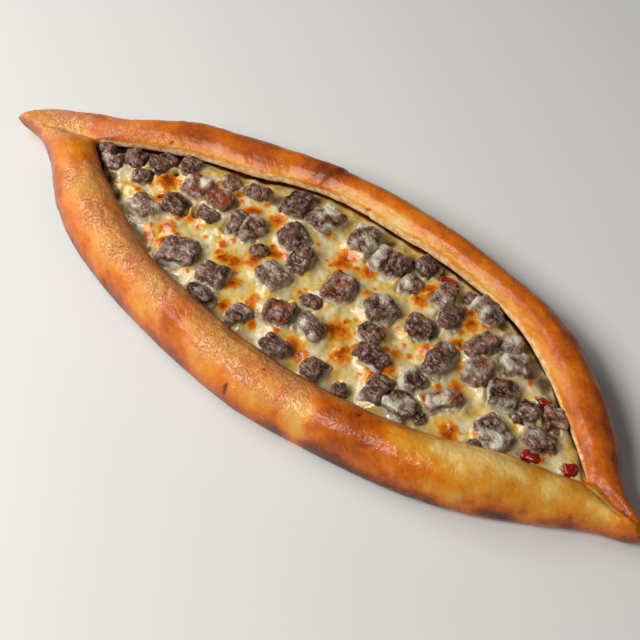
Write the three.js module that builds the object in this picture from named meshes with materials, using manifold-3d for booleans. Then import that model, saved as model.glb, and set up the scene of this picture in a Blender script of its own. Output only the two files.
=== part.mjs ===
// A boat-shaped flatbread baked with diced meat and melted cheese, as sold by the piece.
// One sheet of dough is folded in along both long sides, and the folds are pinched together
// into a point at each end. Between the folds lies the cheese, with the meat set into it.
// Millimetres. X runs from point to point, Z is up, and the origin is the middle of the base.
// The plan is drawn from the line between the two points and moved to the middle at the end.
import * as THREE from "three";
import { mergeVertices } from "three/addons/utils/BufferGeometryUtils.js";
import Module from "manifold-3d";

const { clamp, degToRad, lerp, smoothstep } = THREE.MathUtils;
const wasm = await Module();
wasm.setup();

// The bread as a whole
const LENGTH = 330;
const BASE_THICKNESS = 4.5;
const NEAR_RIM_HEIGHT = 22;
const FAR_RIM_HEIGHT = 20.5;
const RIM_WAVE = 0.7;
const PLAN_SHIFT = 1.87;

// The two points, where the bread gets lower and ends in a round nose
const LEFT_TIP_HEIGHT = 9.5;
const RIGHT_TIP_HEIGHT = 13;
const TIP_SLOPE_LENGTH = 60;
const TIP_LIFT = 1.5;
const TIP_LIFT_LENGTH = 28;
const NOSE_LENGTH = 9;
const NOSE_BLUNTNESS = 0.12;
const NOSE_AXIS = 0.4;

// The folds in section, as shares of their height and of the way from edge to lip
const FOLD_BELLY = 0.27;
const FOLD_REACH = 0.62;
const FOLD_DROOP = 0.13;
const FOOT_INSET = 0.3;
const LIP_ANGLE = Math.acos(1 - 1 / FOLD_REACH);
const FOLD_ANGLES = [-90, -52, -22, 5, 30, 53, 76, 101].map(degToRad);
const LIP_THICKNESS = 4.6;
const LIP_BEVEL = 0.6;
const LIP_WAVE = 0.5;

// The seam beyond each corner of the opening, where the folds meet and then become one
const SEAM_DEPTH = 2.4;
const SEAM_HALF_WIDTH = 0.9;
const SEAM_FADE = [10, 28];
const FOLDS_JOIN = [6, 26];

// Plan curves, as [along, across]. The edges are where the bread is widest, the lips are
// the inner edges of the folds, and the seam is where the folds meet beyond the opening.
const NEAR_EDGE = [[-165, -13], [-150, -11.5], [-130, -21.5], [-110, -35.8], [-80, -49.1], [-40, -57.6],
  [0, -62], [20, -62.3], [40, -60], [80, -52.4], [110, -42], [130, -30], [150, -17.2], [165, -13]];
const FAR_EDGE = [[-165, -8], [-150, 6.5], [-130, 13.7], [-110, 22.4], [-80, 41], [-40, 53],
  [0, 58.5], [40, 57.2], [80, 51.2], [95, 47.3], [110, 40.4], [130, 24.7], [140, 15], [150, 1.2], [165, -9]];
const NEAR_LIP = [[-121, -3.8], [-100, -15.5], [-75, -26.5], [-50, -35.8], [-20, -40], [15, -41.2],
  [50, -38.5], [80, -31.5], [110, -19], [139.5, -7]];
const FAR_LIP = [[-121, -2.6], [-95, 12.3], [-75, 21.8], [-50, 29], [-40, 34.5], [-20, 40.5],
  [10, 42.7], [45, 41.5], [75, 36.5], [100, 24.5], [120, 10], [139.5, -5.8]];
const SEAM = [[-165, -11.5], [-148, -10], [-134, -5.2], [-121, -3.2], [139.5, -6.4], [154, -9.8], [165, -11.5]];
const [OPENING_START, OPENING_END] = [NEAR_LIP[0][0], NEAR_LIP.at(-1)[0]];

// The hollow between and under the folds. The shares are of the way from lip to edge.
const HOLLOW_FLOOR_SHARE = 0.38;
const HOLLOW_WAIST_SHARE = 0.5;
const HOLLOW_ROOF_SHARE = 0.3;
const HOLLOW_ROOF_FALL = 0.25;
const HOLLOW_LEAST_HEIGHT = 3;
const HOLLOW_FULL_WIDTH = 30;
const CORNER_INSET = 1.6;

// The cheese
const CHEESE_HEIGHT = 10.2;
const CHEESE_EDGE_HEIGHT = 8;
const CHEESE_CROWN = [0.55, 1.05];
const CHEESE_END_SLOPE = 24;
const CHEESE_WAVE = 0.6;
const CLEARANCE = 0.4;

// The pieces set into the cheese
const PIECE_TOP = 14.5;
const PIECE_FOOT = 6.6;
const PIECE_ROUNDING = 0.42;
const PIECE_ROUGHNESS = 0.9;

// How finely the bread and the cheese are divided
const STATION_STEP = 5.5;
const END_CROWDING = 0.4;
const CHEESE_STEPS_ACROSS = 14;
const MERGE_DISTANCE = 1e-3;

// Diced meat, hand-cut, in rows as it lies: [along, across, length, width, turn in degrees, rise].
const MEAT = [
  // the row under the far fold
  [-99, 3, 11, 9, 20, -2.5], [-88, 8, 9, 12, -15, -1], [-78, 15, 9, 10, 10, -1.5], [-57, 19, 8, 7, 0, -1],
  [-45, 22, 10, 8, 25, -1], [-27, 27, 13, 13, 15, 0.5], [-12, 28, 12, 14, -10, 0], [7, 30, 11, 14, 8, 0.5],
  [18, 27, 7, 11, -5, -0.5], [27, 28, 9, 12, 10, 0.5], [36, 35, 9, 9, 0, 0], [36, 24, 8, 9, 15, -0.5],
  [50, 28, 8, 12, 5, 0], [67, 33, 13, 8, -15, -0.5], [83, 26, 8, 8, 20, -1.5], [91, 18, 10, 10, 35, 0],
  // the upper middle
  [-107, -5, 12, 6, -35, -2], [-89, -3, 8, 7, 30, -1.5], [-66, 7, 12, 11, 10, 0], [-53, 8, 12, 9, -5, 0.5],
  [-52, -2, 10, 6, 0, -0.5], [-39, 3, 7, 13, 10, 0], [-31, 4, 8, 13, 5, 0.5], [-16, 12, 12, 11, -20, 0.5],
  [-6, 5, 9, 13, 20, 0.5], [16, 4, 12, 14, 20, 0.5], [35, 6, 12, 12, -35, 1], [58, 21, 9, 11, 10, 0.5],
  [53, 9, 12, 9, 15, 0], [75, 17, 9, 14, -15, 0.5], [82, 6, 10, 12, 15, 0.5], [95, 4, 11, 12, 25, 0.5],
  [106, 4, 9, 9, 10, 0], [116, 8, 9, 10, 35, -0.5], [116, -3, 10, 9, 0, -0.5],
  // the lower middle
  [-65, -6, 11, 9, 5, 0], [-75, -16, 13, 9, -10, 0], [-8, -9, 13, 10, -15, 0.5], [40, -6, 11, 8, -15, 0.5],
  [47, -14, 14, 8, -5, 0], [68, 1, 9, 16, 3, 1], [66, -13, 9, 9, -10, 0.5], [80, -12, 7, 15, -35, 0],
  [58, -24, 9, 12, 5, 0], [69, -24, 12, 10, -10, 0.5], [102, -12, 15, 10, -20, 0.5],
  // the row along the near fold
  [-46, -24, 16, 14, 25, 0], [-27, -24, 12, 10, 15, 0.5], [-24, -34, 14, 6, -5, -0.5], [-5, -32, 8, 10, -15, 0],
  [6, -21, 12, 11, 20, 0.5], [20, -18, 13, 8, -15, 0], [16, -34, 12, 7, 0, 0], [34, -32, 9, 9, 5, 0],
];

// Diced red tomato between the meat, written the same way
const TOMATO = [
  [46, 36, 8, 4, 10, -3.5], [108, 12, 5, 4, 0, -3], [117, -10.5, 6, 5, 20, -2.5], [131, -5.5, 5, 4, 30, -3],
];

const CRUST_LOOK = { color: "#d5882f", roughness: 0.4, metalness: 0 };
const CHEESE_LOOK = { color: "#e9dba0", roughness: 0.35, metalness: 0 };
const MEAT_LOOK = { color: "#5f4d44", roughness: 0.5, metalness: 0 };
const TOMATO_LOOK = { color: "#9c2418", roughness: 0.3, metalness: 0 };

// A smooth curve through points, as a function of the first coordinate.
function through(points) {
  const slope = (i) => {
    const [a, b] = [points[Math.max(i - 1, 0)], points[Math.min(i + 1, points.length - 1)]];
    return (b[1] - a[1]) / (b[0] - a[0]);
  };
  return (x) => {
    let i = 0;
    while (i < points.length - 2 && x > points[i + 1][0]) i++;
    const [[x0, y0], [x1, y1]] = [points[i], points[i + 1]];
    const t = clamp((x - x0) / (x1 - x0), 0, 1);
    const [m0, m1] = [slope(i) * (x1 - x0), slope(i + 1) * (x1 - x0)];
    return (2 * t ** 3 - 3 * t ** 2 + 1) * y0 + (t ** 3 - 2 * t ** 2 + t) * m0
      + (3 * t ** 2 - 2 * t ** 3) * y1 + (t ** 3 - t ** 2) * m1;
  };
}

// Numbers from 0 to 1 that look random and come out the same each time.
function seeded(seed) {
  const [factor, step, range] = [1664525, 1013904223, 2 ** 32];
  let state = seed;
  return () => {
    state = (state * factor + step) % range;
    return state / range;
  };
}

// The slow unevenness of hand-stretched dough, from -1 to 1, in a long and a short wave.
function wobble(x, phase) {
  return 0.6 * Math.sin(x / 17 + phase) + 0.4 * Math.sin(x / 7.3 + 2.3 * phase);
}

// Places from one end to the other, a little closer together towards both ends.
function stations(from, to) {
  const count = Math.round((to - from) / STATION_STEP);
  return Array.from({ length: count + 1 }, (_, i) => {
    const even = i / count;
    const crowded = (1 - Math.cos(Math.PI * even)) / 2;
    return lerp(from, to, lerp(even, crowded, END_CROWDING));
  });
}

// A closed geometry through a row of like sections, with both ends closed.
function loft(sections) {
  const size = sections[0].length;
  const index = [];
  for (let s = 0; s + 1 < sections.length; s++) {
    for (let i = 0; i < size; i++) {
      const [a, b] = [s * size + i, s * size + (i + 1) % size];
      index.push(a, b, a + size, b, b + size, a + size);
    }
  }
  const cap = (section, base, flip) => {
    const flat = section.map((p) => new THREE.Vector2(p.y, p.z));
    for (const [a, b, c] of THREE.ShapeUtils.triangulateShape(flat, [])) {
      index.push(base + a, base + (flip ? c : b), base + (flip ? b : c));
    }
  };
  cap(sections[0], 0, true);
  cap(sections.at(-1), (sections.length - 1) * size, false);
  return new THREE.BufferGeometry().setFromPoints(sections.flat()).setIndex(index);
}

// The geometry with its shared corners merged and nothing kept but their positions.
function bare(geometry) {
  const positions = new THREE.BufferGeometry()
    .setAttribute("position", geometry.getAttribute("position"))
    .setIndex(geometry.index);
  return mergeVertices(positions, MERGE_DISTANCE);
}

function solidOf(geometry) {
  const merged = bare(geometry);
  return new wasm.Manifold(new wasm.Mesh({
    numProp: 3,
    vertProperties: merged.attributes.position.array,
    triVerts: new Uint32Array(merged.index.array),
  }));
}

function meshOf(name, solid, look) {
  const { vertProperties, numProp, triVerts } = solid.getMesh();
  const geometry = new THREE.BufferGeometry()
    .setAttribute("position", new THREE.BufferAttribute(vertProperties, numProp))
    .setIndex(new THREE.BufferAttribute(triVerts, 1));
  geometry.computeVertexNormals();
  const mesh = new THREE.Mesh(geometry, new THREE.MeshStandardMaterial(look));
  mesh.name = name;
  return mesh;
}

const [nearEdge, farEdge, nearLip, farLip, seam] = [NEAR_EDGE, FAR_EDGE, NEAR_LIP, FAR_LIP, SEAM].map(through);

// How far past a corner of the opening a place is, and how much the folds are one there.
const beyond = (x) => Math.max(0, OPENING_START - x, x - OPENING_END);
const joined = (x) => smoothstep(beyond(x), ...FOLDS_JOIN);

// The two edges of the gap between the folds. Beyond the opening they close on the seam.
function lips(x) {
  if (beyond(x) > 0) return [seam(x) - SEAM_HALF_WIDTH, seam(x) + SEAM_HALF_WIDTH];
  const [near, far] = [nearLip(x), farLip(x) + LIP_WAVE * wobble(x, 4)];
  const middle = (near + far) / 2;
  return [Math.min(near, middle - SEAM_HALF_WIDTH), Math.max(far, middle + SEAM_HALF_WIDTH)];
}

// The height of a fold's crest. Side is -1 for the near fold and 1 for the far one.
function rimHeight(x, side) {
  const [full, phase] = side < 0 ? [NEAR_RIM_HEIGHT, 2.6] : [FAR_RIM_HEIGHT, 1];
  const tip = x < 0 ? LEFT_TIP_HEIGHT : RIGHT_TIP_HEIGHT;
  const rise = smoothstep(LENGTH / 2 - Math.abs(x), 0, TIP_SLOPE_LENGTH);
  return lerp(tip, full, rise) + RIM_WAVE * rise * wobble(x, phase);
}

// A point of a fold's section, as shares of the way from edge to lip and of the fold's height.
// At -90 degrees it is the foot on the floor, at 0 the widest place and at 90 the crest.
function foldPoint(x, angle) {
  const across = FOLD_REACH * (1 - Math.cos(angle));
  if (angle < 0) return [FOOT_INSET * across, FOLD_BELLY * (1 + Math.sin(angle))];
  const level = angle > Math.PI / 2 ? joined(x) : 0;
  const round = lerp(Math.sin(angle), 1, level);
  const droop = FOLD_DROOP * (1 - joined(x)) * across ** 2;
  return [across, FOLD_BELLY + (1 - FOLD_BELLY) * round - droop];
}

// One fold in section, from its foot on the floor, round the outside, to its lip.
function fold(x, edge, lip, side) {
  return [...FOLD_ANGLES, LIP_ANGLE].map((angle) => {
    const [across, up] = foldPoint(x, angle);
    return [lerp(edge, lip, across), up * rimHeight(x, side)];
  });
}

const lipTop = (x, side) => rimHeight(x, side) * foldPoint(x, LIP_ANGLE)[1];

// The bread in section before the space for the filling is taken out of it.
function doughSection(x) {
  const [near, far] = lips(x);
  const groove = beyond(x) > 0 ? SEAM_DEPTH * (1 - smoothstep(beyond(x), ...SEAM_FADE)) : 0;
  const middle = [(near + far) / 2, Math.min(lipTop(x, -1), lipTop(x, 1)) - groove];
  const outline = [...fold(x, nearEdge(x), near, -1), middle, ...fold(x, farEdge(x), far, 1).reverse()];
  const intoNose = Math.max(0, Math.abs(x) - LENGTH / 2 + NOSE_LENGTH) / NOSE_LENGTH;
  const size = Math.max(NOSE_BLUNTNESS, Math.sqrt(Math.max(0, 1 - intoNose ** 2)));
  const axis = [seam(x), NOSE_AXIS * rimHeight(x, 1)];
  const lift = TIP_LIFT * smoothstep(Math.abs(x), LENGTH / 2 - TIP_LIFT_LENGTH, LENGTH / 2);
  return outline.reverse().map(([y, z]) => (
    new THREE.Vector3(x, lerp(axis[0], y, size), lerp(axis[1], z, size) + lift)
  ));
}

// The hollow in section. The gap is how far its walls are drawn in.
function hollowSection(x, gap) {
  const [near, far] = lips(x);
  const open = smoothstep(far - near, 0, HOLLOW_FULL_WIDTH);
  const half = (edge, lip, side) => {
    const depth = (edge - lip) * open;
    const wall = lip - side * gap;
    const roof = Math.max(lipTop(x, side) - LIP_THICKNESS, BASE_THICKNESS + HOLLOW_LEAST_HEIGHT);
    return [
      [wall + HOLLOW_FLOOR_SHARE * depth, BASE_THICKNESS + gap],
      [wall + HOLLOW_WAIST_SHARE * depth, (BASE_THICKNESS + roof) / 2],
      [wall + HOLLOW_ROOF_SHARE * depth, lerp(roof, BASE_THICKNESS, HOLLOW_ROOF_FALL * open) - gap],
      [wall - side * LIP_BEVEL, roof - gap],
      [wall - side * LIP_BEVEL, 2 * NEAR_RIM_HEIGHT],
    ];
  };
  const outline = [...half(nearEdge(x), near, -1), ...half(farEdge(x), far, 1).reverse()];
  return outline.reverse().map(([y, z]) => new THREE.Vector3(x, y, z));
}

const fillingStations = stations(OPENING_START + CORNER_INSET, OPENING_END - CORNER_INSET);

function makeHollow(gap) {
  const sections = fillingStations.map((x) => hollowSection(x, gap));
  for (const point of sections[0]) point.x += gap;
  for (const point of sections.at(-1)) point.x -= gap;
  return solidOf(loft(sections));
}

function makeCrust() {
  const dough = solidOf(loft(stations(-LENGTH / 2, LENGTH / 2).map(doughSection)));
  return dough.subtract(makeHollow(0));
}

// The top of the cheese, highest along the middle, lower under the folds and wavy all over.
function cheeseTop(x, y) {
  const [near, far] = lips(x);
  const across = Math.abs(2 * y - near - far) / (far - near);
  const inward = smoothstep(Math.min(x - OPENING_START, OPENING_END - x), 0, CHEESE_END_SLOPE);
  const crown = inward * (1 - smoothstep(across, ...CHEESE_CROWN));
  const wave = Math.sin(x / 6.1 + 1.5 * Math.sin(y / 9)) * Math.cos(y / 5.3 + x / 19);
  return lerp(CHEESE_EDGE_HEIGHT, CHEESE_HEIGHT, crown) + CHEESE_WAVE * wave;
}

// The cheese in section as wide as the bread, before it is fitted into the hollow.
function cheeseSection(x) {
  const [near, far] = [nearEdge(x), farEdge(x)];
  const top = Array.from({ length: CHEESE_STEPS_ACROSS + 1 }, (_, i) => {
    const y = lerp(far, near, i / CHEESE_STEPS_ACROSS);
    return new THREE.Vector3(x, y, cheeseTop(x, y));
  });
  return [new THREE.Vector3(x, far, 0), ...top, new THREE.Vector3(x, near, 0)];
}

function makeCheese(sockets) {
  const slab = solidOf(loft(fillingStations.map(cheeseSection)));
  return slab.intersect(makeHollow(CLEARANCE)).subtract(wasm.Manifold.union(sockets));
}

const pieceHeight = (rise) => PIECE_TOP + rise - PIECE_FOOT;

// Sets a piece down on its foot, turned as it lies.
function setDown(geometry, [x, y, , , turn, rise]) {
  geometry.rotateZ(degToRad(turn));
  geometry.translate(x, y, PIECE_FOOT + pieceHeight(rise) / 2);
  return solidOf(geometry);
}

// One hand-cut cube: a box with its corners rounded and each point moved a little.
function makeCube(place, seed) {
  const [, , length, width, , rise] = place;
  const random = seeded(seed);
  const geometry = bare(new THREE.BoxGeometry(2, 2, 2, 2, 2, 2));
  const position = geometry.attributes.position;
  const half = new THREE.Vector3(length, width, pieceHeight(rise)).divideScalar(2);
  const point = new THREE.Vector3();
  const nudge = new THREE.Vector3();
  for (let i = 0; i < position.count; i++) {
    point.fromBufferAttribute(position, i);
    point.multiplyScalar(1 - PIECE_ROUNDING * (1 - 1 / point.length()));
    point.multiply(half);
    nudge.set(random(), random(), random()).subScalar(0.5);
    point.addScaledVector(nudge, PIECE_ROUGHNESS);
    position.setXYZ(i, point.x, point.y, point.z);
  }
  return setDown(geometry, place);
}

// The room that a piece needs in the cheese and beside its neighbours.
function makeSocket(place) {
  const [, , length, width, , rise] = place;
  const spare = PIECE_ROUGHNESS + 2 * CLEARANCE;
  const box = new THREE.BoxGeometry(length + spare, width + spare, pieceHeight(rise) + spare);
  return setDown(box, place);
}

// Pieces that would touch are pressed flat against each other, the later against the earlier.
function makePieces(places, firstSeed, earlier) {
  const room = makeHollow(CLEARANCE);
  const made = [];
  for (const place of places) {
    let solid = makeCube(place, firstSeed + made.length).intersect(room);
    for (const other of [...earlier, ...made]) solid = solid.subtract(other.socket);
    made.push({ solid, socket: makeSocket(place) });
  }
  return made;
}

const meat = makePieces(MEAT, 11, []);
const tomato = makePieces(TOMATO, 301, meat);
const cheese = makeCheese([...meat, ...tomato].map((piece) => piece.socket));

const filling = new THREE.Group();
filling.add(meshOf("cheese", cheese, CHEESE_LOOK));
meat.forEach((piece, i) => {
  filling.add(meshOf(`meat_${String(i + 1).padStart(2, "0")}`, piece.solid, MEAT_LOOK));
});
tomato.forEach((piece, i) => {
  filling.add(meshOf(`tomato_${i + 1}`, piece.solid, TOMATO_LOOK));
});

const pide = new THREE.Group();
pide.add(meshOf("crust", makeCrust(), CRUST_LOOK), filling);
pide.position.y = PLAN_SHIFT;

export default pide;
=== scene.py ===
import math

import bmesh
import bpy
import numpy as np
from mathutils import Matrix, Vector, noise
from mathutils.bvhtree import BVHTree


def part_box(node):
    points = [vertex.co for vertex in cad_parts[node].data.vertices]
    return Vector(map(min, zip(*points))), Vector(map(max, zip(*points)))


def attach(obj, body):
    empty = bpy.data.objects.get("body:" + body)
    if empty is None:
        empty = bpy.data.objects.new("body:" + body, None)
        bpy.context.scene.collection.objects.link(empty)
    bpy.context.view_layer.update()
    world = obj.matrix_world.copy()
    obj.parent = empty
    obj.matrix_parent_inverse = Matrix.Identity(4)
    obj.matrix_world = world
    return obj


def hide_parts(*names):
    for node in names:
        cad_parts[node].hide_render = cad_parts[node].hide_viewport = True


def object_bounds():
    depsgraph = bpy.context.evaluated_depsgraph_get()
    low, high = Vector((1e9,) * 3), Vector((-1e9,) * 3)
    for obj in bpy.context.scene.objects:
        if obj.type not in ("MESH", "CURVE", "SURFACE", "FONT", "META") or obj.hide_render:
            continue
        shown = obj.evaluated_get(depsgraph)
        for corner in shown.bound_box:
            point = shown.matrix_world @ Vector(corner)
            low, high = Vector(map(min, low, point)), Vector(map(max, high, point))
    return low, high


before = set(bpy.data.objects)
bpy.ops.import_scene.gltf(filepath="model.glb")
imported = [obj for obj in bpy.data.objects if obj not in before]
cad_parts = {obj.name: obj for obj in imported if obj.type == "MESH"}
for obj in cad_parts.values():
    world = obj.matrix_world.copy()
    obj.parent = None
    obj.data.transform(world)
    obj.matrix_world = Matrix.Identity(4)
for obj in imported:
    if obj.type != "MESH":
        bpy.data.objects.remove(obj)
cad_low, cad_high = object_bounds()

# ---------------------------------------------------------------- camera
# The camera stands above the near side of the bread, well round to its right, and looks down
# at it. Its place, angle and lens were worked out from the outline in the photo.
CAMERA_PLACE = Vector((0.20798, -0.22711, 0.37100))
CAMERA_AZIMUTH = math.radians(40.99)
CAMERA_ELEVATION = math.radians(51.50)
PICTURE_PIXELS = 640
FOCAL_PIXELS = 1184.4


def link(name, data):
    """An object of that name with that mesh, light or camera, in the scene."""
    piece = bpy.data.objects.new(name, data)
    bpy.context.scene.collection.objects.link(piece)
    return piece


def aim(thing, back):
    """Turns a camera or a light so that its back faces that way."""
    thing.rotation_mode = "QUATERNION"
    thing.rotation_quaternion = (-back).to_track_quat("-Z", "Y")


camera_data = bpy.data.cameras.new("camera")
camera_data.lens = FOCAL_PIXELS / PICTURE_PIXELS * camera_data.sensor_width
camera = link("camera", camera_data)
camera.location = CAMERA_PLACE
aim(camera, Vector((
    math.sin(CAMERA_AZIMUTH) * math.cos(CAMERA_ELEVATION),
    -math.cos(CAMERA_AZIMUTH) * math.cos(CAMERA_ELEVATION),
    math.sin(CAMERA_ELEVATION),
)))
bpy.context.scene.camera = camera
bpy.context.scene.view_settings.view_transform = "Standard"

# ---------------------------------------------------------------- studio
# One soft box stands at the near side of the bread, one at its left end and a weak one at its
# right end, so the far side stays dim. The bread lies on a table painted in a matt pale colour.
AIR_COLOUR = "#f1f3f6"
AIR_STRENGTH = 0.05
FLOOR_PAINT = "#d9d7d2"
FLOOR_SIZE = 4.0
FLOOR_DROP = 0.0004
# Each soft box: name, direction, distance and size in metres, and power in watts.
SOFT_BOXES = [
    ("near_soft_box", (-0.28, -0.62, 0.72), 0.9, (0.50, 0.38), 7.5),
    ("left_soft_box", (-0.80, -0.12, 0.62), 0.9, (0.55, 0.45), 4.1),
    ("right_soft_box", (0.80, 0.10, 0.75), 1.2, (0.90, 0.90), 1.3),
]


def colour(code):
    """The linear colour of an sRGB hex code such as "#d5882f"."""
    parts = [int(code[i:i + 2], 16) / 255 for i in (1, 3, 5)]
    return [p / 12.92 if p <= 0.04045 else ((p + 0.055) / 1.055) ** 2.4 for p in parts] + [1.0]


def add(tree, kind, inputs=None, stops=None, **settings):
    """A shader node with its settings, and its inputs set to values or linked to other sockets."""
    node = tree.nodes.new("ShaderNode" + kind)
    for key, value in settings.items():
        setattr(node, key, value)
    for key, value in (inputs or {}).items():
        if isinstance(value, bpy.types.NodeSocket):
            tree.links.new(value, node.inputs[key])
        else:
            node.inputs[key].default_value = value
    for place, (position, value) in enumerate(stops or []):
        if place > 1:
            node.color_ramp.elements.new(position)
        stop = node.color_ramp.elements[place]
        stop.position = position
        stop.color = colour(value) if isinstance(value, str) else [value] * 3 + [1]
    return node


def new_material(name):
    """An empty material and its node tree."""
    material = bpy.data.materials.new(name)
    material.use_nodes = True
    material.node_tree.nodes.clear()
    return material, material.node_tree


def soft_box(name, direction, distance, size, power):
    """A rectangular studio light that looks at the middle of the bread."""
    lamp = bpy.data.lights.new(name, "AREA")
    lamp.shape = "RECTANGLE"
    lamp.size, lamp.size_y = size
    lamp.energy = power
    light = link(name, lamp)
    towards = Vector(direction).normalized()
    light.location = towards * distance
    aim(light, towards)


for soft_box_facts in SOFT_BOXES:
    soft_box(*soft_box_facts)

world = bpy.data.worlds.new("studio")
world.use_nodes = True
air = world.node_tree.nodes["Background"].inputs
air["Color"].default_value = colour(AIR_COLOUR)
air["Strength"].default_value = AIR_STRENGTH
bpy.context.scene.world = world

half_floor = FLOOR_SIZE / 2
floor_corners = [(-half_floor, -half_floor, 0), (half_floor, -half_floor, 0),
    (half_floor, half_floor, 0), (-half_floor, half_floor, 0)]
floor_mesh = bpy.data.meshes.new("floor")
floor_mesh.from_pydata(floor_corners, [], [(0, 1, 2, 3)])
floor = link("floor", floor_mesh)
floor.location.z = -FLOOR_DROP

# Matt pale wall paint, rolled on: it scatters the light evenly and shows no glint.
floor_paint, tree = new_material("matt_pale_paint")
shade = add(tree, "BsdfPrincipled", {"Base Color": colour(FLOOR_PAINT), "Roughness": 0.8})
add(tree, "OutputMaterial", {"Surface": shade.outputs[0]})
floor_mesh.materials.append(floor_paint)

# ---------------------------------------------------------------- crust
# The crust is leavened wheat dough, stretched by hand, folded in along both sides, pinched to
# a point at each end, washed with egg and baked on a hot stone floor.
MM = 0.001
# The mesh of a skin: its cell in millimetres, how often it is smoothed, and how near to each
# other two points of the solid are joined.
CRUST_CELL = 1.15
CRUST_SMOOTHING = 22
WELD = 0.01
# The plan is drawn about the line between the two tips, this far from the frame's middle.
PLAN_SHIFT = 1.87
# Where the lips of the two folds meet, left and right.
OPENING = (-121.0, 139.5)

# Plan curves in millimetres, along and across the bread.
NEAR_EDGE = [[-165, -13], [-150, -11.5], [-130, -21.5], [-110, -35.8], [-80, -49.1], [-40, -57.6],
    [0, -62], [20, -62.3], [40, -60], [80, -52.4], [110, -42], [130, -30], [150, -17.2],
    [165, -13]]
FAR_EDGE = [[-165, -8], [-150, 6.5], [-130, 13.7], [-110, 22.4], [-80, 41], [-40, 53], [0, 58.5],
    [40, 57.2], [80, 51.2], [95, 47.3], [110, 40.4], [130, 24.7], [140, 15], [150, 1.2],
    [165, -9]]
NEAR_LIP = [[-121, -3.8], [-100, -15.5], [-75, -26.5], [-50, -35.8], [-20, -40], [15, -41.2],
    [50, -38.5], [80, -31.5], [110, -19], [139.5, -7]]
FAR_LIP = [[-121, -2.6], [-95, 12.3], [-75, 21.8], [-50, 29], [-40, 34.5], [-20, 40.5], [10, 42.7],
    [45, 41.5], [75, 36.5], [100, 24.5], [120, 10], [139.5, -5.8]]
SEAM = [[-165, -11.5], [-148, -10], [-134, -5.2], [-121, -3.2], [139.5, -6.4], [154, -9.8],
    [165, -11.5]]


def curve(points):
    """A smooth line through plan points, as a function of the way along the bread."""
    x, y = np.array(points, float).T
    index = np.arange(len(x))
    before, after = np.maximum(index - 1, 0), np.minimum(index + 1, len(x) - 1)
    slope = (y[after] - y[before]) / (x[after] - x[before])

    def at(place):
        i = np.clip(np.searchsorted(x, place) - 1, 0, len(x) - 2)
        run = x[i + 1] - x[i]
        t = np.clip((place - x[i]) / run, 0, 1)
        return ((2 * t**3 - 3 * t**2 + 1) * y[i] + (t**3 - 2 * t**2 + t) * slope[i] * run
            + (3 * t**2 - 2 * t**3) * y[i + 1] + (t**3 - t**2) * slope[i + 1] * run)

    return at


near_edge, far_edge = curve(NEAR_EDGE), curve(FAR_EDGE)
near_lip, far_lip = curve(NEAR_LIP), curve(FAR_LIP)
seam = curve(SEAM)


def ease(value, start, end):
    """0 before start, 1 after end, and smooth between them."""
    t = np.clip((np.asarray(value, float) - start) / (end - start), 0, 1)
    return t * t * (3 - 2 * t)


def fade(value, start, end):
    """1 before start, 0 after end, and smooth between them."""
    return 1 - ease(value, start, end)


def ridge(distance, middle, width):
    """1 on the line at that distance, and dying away on both sides of it."""
    return np.exp(-(((distance - middle) / width) ** 2))


# Each layer is a noise of its own, taken this far from the one before, and the gain makes the
# noise reach from about -1 to 1.
LAYER_STEP = 17.3
NOISE_GAIN = 1.4


def cloud(points, size, layer):
    """Smooth noise with lumps of that size in millimetres, the same on each run."""
    sizes = np.broadcast_to(np.asarray(size, float), (3,))
    places = points / sizes + layer * LAYER_STEP
    return np.array([noise.noise(p) for p in places.tolist()]) * NOISE_GAIN


def grains(points, size, layer):
    """0 in the middle of each rounded grain of that size and about 1 at its rim."""
    places = points / size + layer * LAYER_STEP
    return np.array([noise.voronoi(p)[0][0] for p in places.tolist()])


def plan_points(mesh):
    """The mesh's points in millimetres, about the line between the two tips."""
    flat = np.zeros(len(mesh.vertices) * 3, np.float32)
    mesh.vertices.foreach_get("co", flat)
    return flat.reshape(-1, 3).astype(float) / MM - [0, PLAN_SHIFT, 0]


def normals(mesh):
    """The mesh's outward directions, one a point."""
    flat = np.zeros(len(mesh.vertices) * 3, np.float32)
    mesh.vertex_normals.foreach_get("vector", flat)
    return flat.reshape(-1, 3).astype(float)


def move_points(mesh, points):
    """Sets the mesh's points, given in millimetres of the plan."""
    metres = (points + [0, PLAN_SHIFT, 0]) * MM
    mesh.vertices.foreach_set("co", metres.astype(np.float32).ravel())
    mesh.update()


def paint(mesh, name, values):
    """Keeps one number a point on the mesh, for its material."""
    layer = mesh.attributes.new(name, "FLOAT", "POINT")
    layer.data.foreach_set("value", np.asarray(values, np.float32))


def shade_smooth(mesh):
    """Shades the mesh as one rounded skin."""
    mesh.polygons.foreach_set("use_smooth", [True] * len(mesh.polygons))


def bake_modifiers(piece):
    """Makes the piece's modified shape its own mesh."""
    bpy.context.view_layer.update()
    shaped = piece.evaluated_get(bpy.context.evaluated_depsgraph_get())
    piece.data = bpy.data.meshes.new_from_object(shaped)
    piece.modifiers.clear()


def refined(node, name, cell, smoothing, keep=None):
    """A fine even skin over a CAD node's shape. Keep says where it stays as sharp as it is."""
    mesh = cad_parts[node].data.copy()
    work = bmesh.new()
    work.from_mesh(mesh)
    bmesh.ops.remove_doubles(work, verts=work.verts, dist=WELD * MM)
    work.to_mesh(mesh)
    work.free()
    mesh.materials.clear()
    piece = link(name, mesh)
    remesh = piece.modifiers.new("skin", "REMESH")
    remesh.mode, remesh.voxel_size = "VOXEL", cell * MM
    bake_modifiers(piece)
    relax = piece.modifiers.new("relax", "SMOOTH")
    relax.factor, relax.iterations = 0.5, smoothing
    if keep is not None:
        group = piece.vertex_groups.new(name="soft")
        for index, weight in enumerate(1 - keep(plan_points(piece.data))):
            group.add([index], float(weight), "REPLACE")
        relax.vertex_group = "soft"
    bake_modifiers(piece)
    piece.vertex_groups.clear()
    shade_smooth(piece.data)
    return piece


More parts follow.
